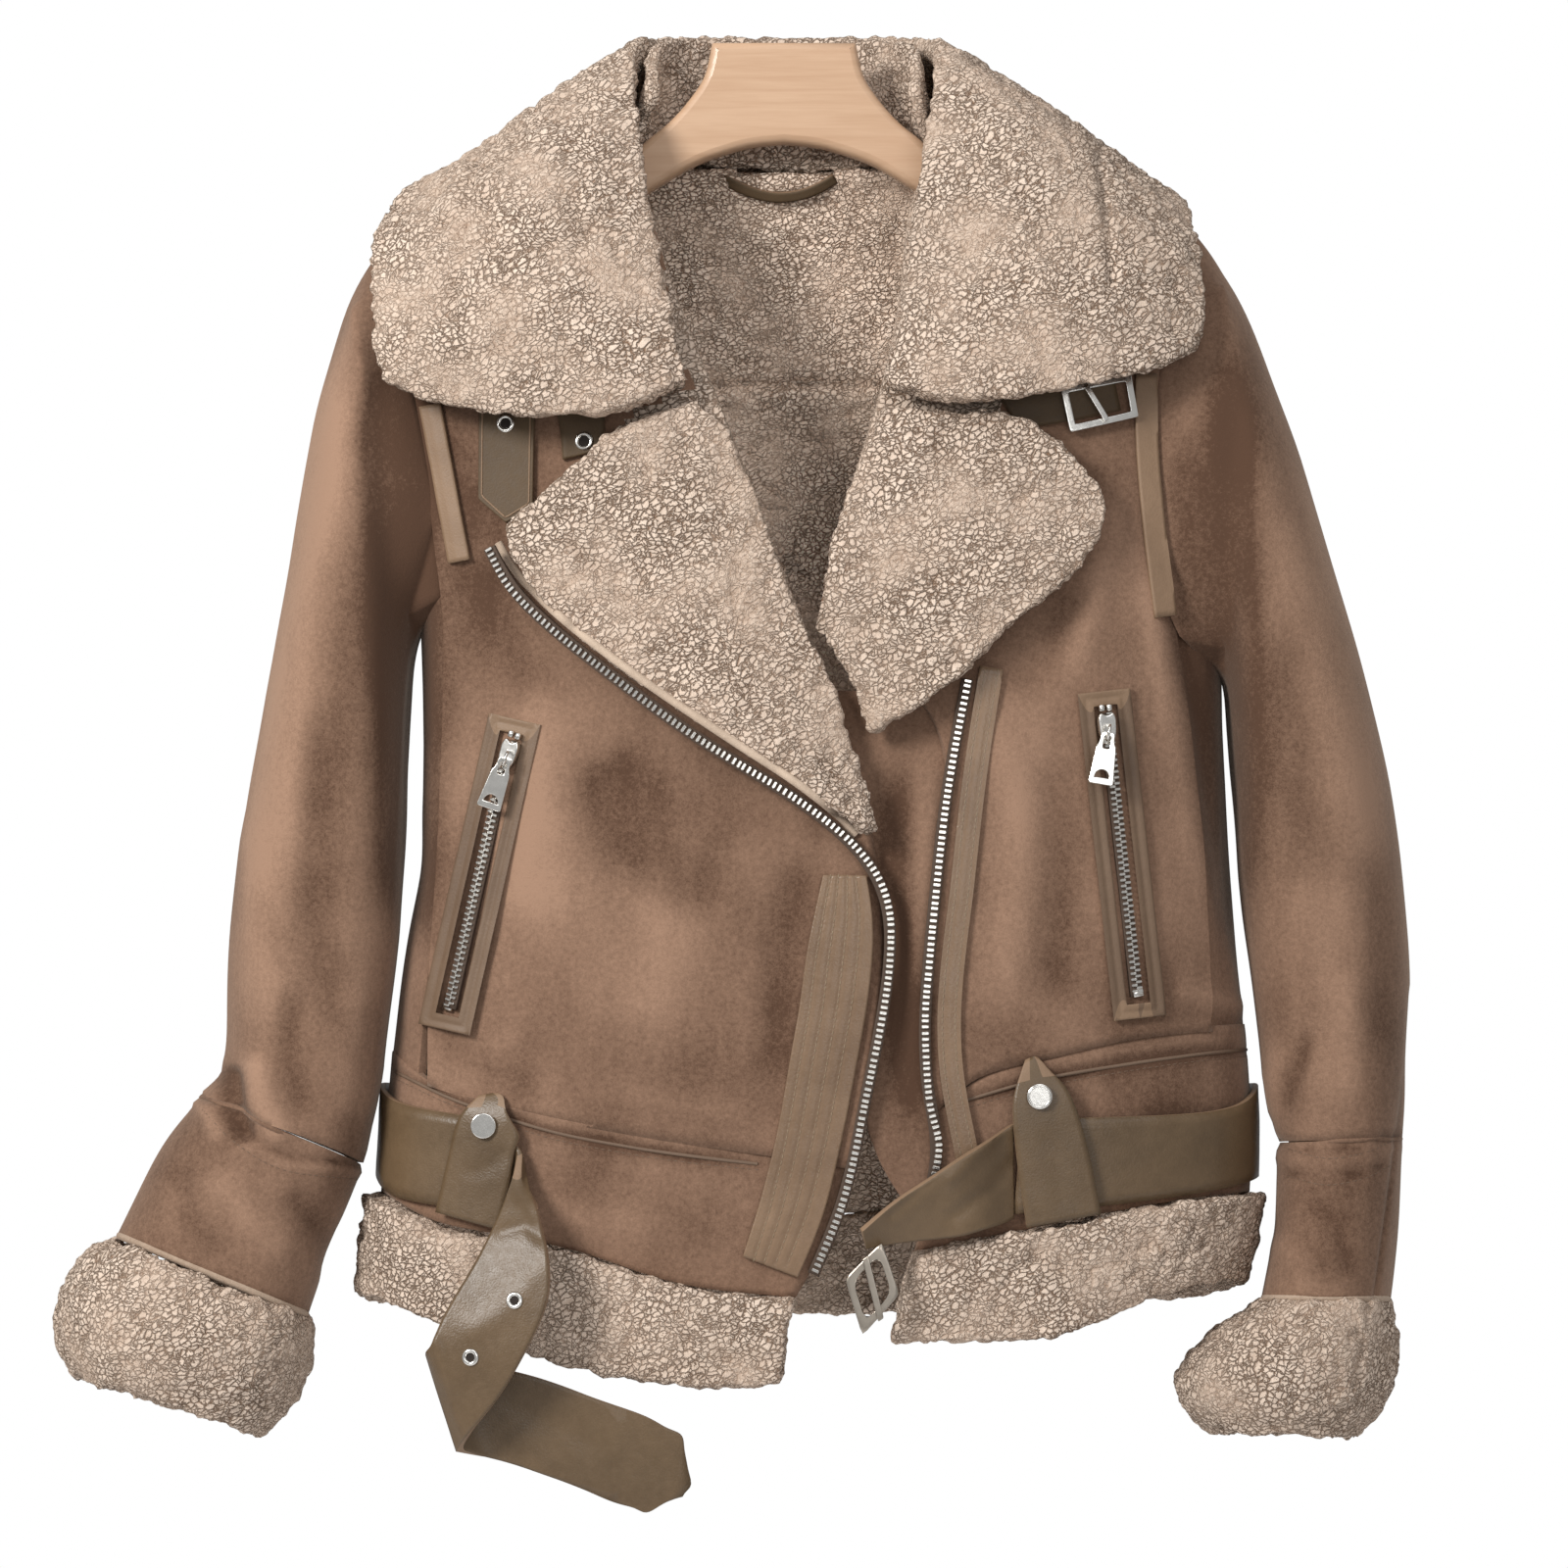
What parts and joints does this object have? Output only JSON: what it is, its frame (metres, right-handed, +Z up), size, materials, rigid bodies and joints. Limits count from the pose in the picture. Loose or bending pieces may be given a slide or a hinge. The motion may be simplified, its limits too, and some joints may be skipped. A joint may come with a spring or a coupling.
{
  "type": "shearling biker jacket on a hanger",
  "caption": "Short shearling biker jacket on a wooden hanger: wide fur collar and lapels, fur cuffs and hem, slanted zips, loose belt.",
  "frame": {"origin": "middle of the flat top of the hanger neck, where a hook or hand holds the hanger", "axes": "+Z up; the front of the jacket faces -Y; +X to the wearer's left"},
  "size_m": [0.713, 0.1988, 0.7677],
  "materials": {
    "suede": "brushed suede face, matt",
    "fur": "curly pile, matt",
    "leather": "smooth, soft sheen",
    "wood": "pale, satin lacquer",
    "nickel": "bright nickel plate"
  },
  "bodies": {
    "jacket": {"back_belt_loop": "leather", "back_hem": "fur", "back_panel": "suede", "back_waistband": "suede", "belt_back": "leather", "belt_buckle": "nickel", "belt_buckle_end": "leather", "belt_buckle_prong": "nickel", "belt_tail": "leather", "collar_fall": "fur", "collar_stand": "fur", "hanger": "wood", "hanger_loop": "leather", "left_armhole_piping": "leather", "left_belt_loop": "leather", "left_cuff": "fur", "left_front": "suede", "left_front_zip": "nickel", "left_hem": "fur", "left_lapel": "fur", "left_placket": "leather", "left_pocket_slider": "nickel", "left_pocket_welt": "leather", "left_pocket_zip": "nickel", "left_side_panel": "suede", "left_sleeve_lower": "suede", "left_sleeve_upper": "suede", "left_snap": "nickel", "left_throat_strap": "leather", "left_waistband": "suede", "right_armhole_piping": "leather", "right_belt_loop": "leather", "right_cuff": "fur", "right_front": "suede", "right_front_zip": "nickel", "right_hem": "fur", "right_lapel": "fur", "right_placket": "leather", "right_pocket_slider": "nickel", "right_pocket_welt": "leather", "right_pocket_zip": "nickel", "right_side_panel": "suede", "right_sleeve_lower": "suede", "right_sleeve_upper": "suede", "right_snap": "nickel", "right_throat_strap_inner": "leather", "right_throat_strap_outer": "leather", "right_waistband": "suede", "throat_buckle": "nickel", "throat_buckle_prong": "nickel", "wind_flap": "suede"},
    "right_pull": {"right_pocket_pull": "nickel"},
    "left_pull": {"left_pocket_pull": "nickel"}
  },
  "joints": [
    {"name": "right_pull_swing", "type": "hinge", "parent": "jacket", "child": "right_pull", "pos_m": [-0.14134, -0.07047, -0.37592], "axis": [-0.9446, 0, 0.3282], "range_deg": [0, 120]},
    {"name": "left_pull_swing", "type": "hinge", "parent": "jacket", "child": "left_pull", "pos_m": [0.16434, -0.0744, -0.36231], "axis": [-0.988, 0, 0.1547], "range_deg": [0, 120]}
  ]
}
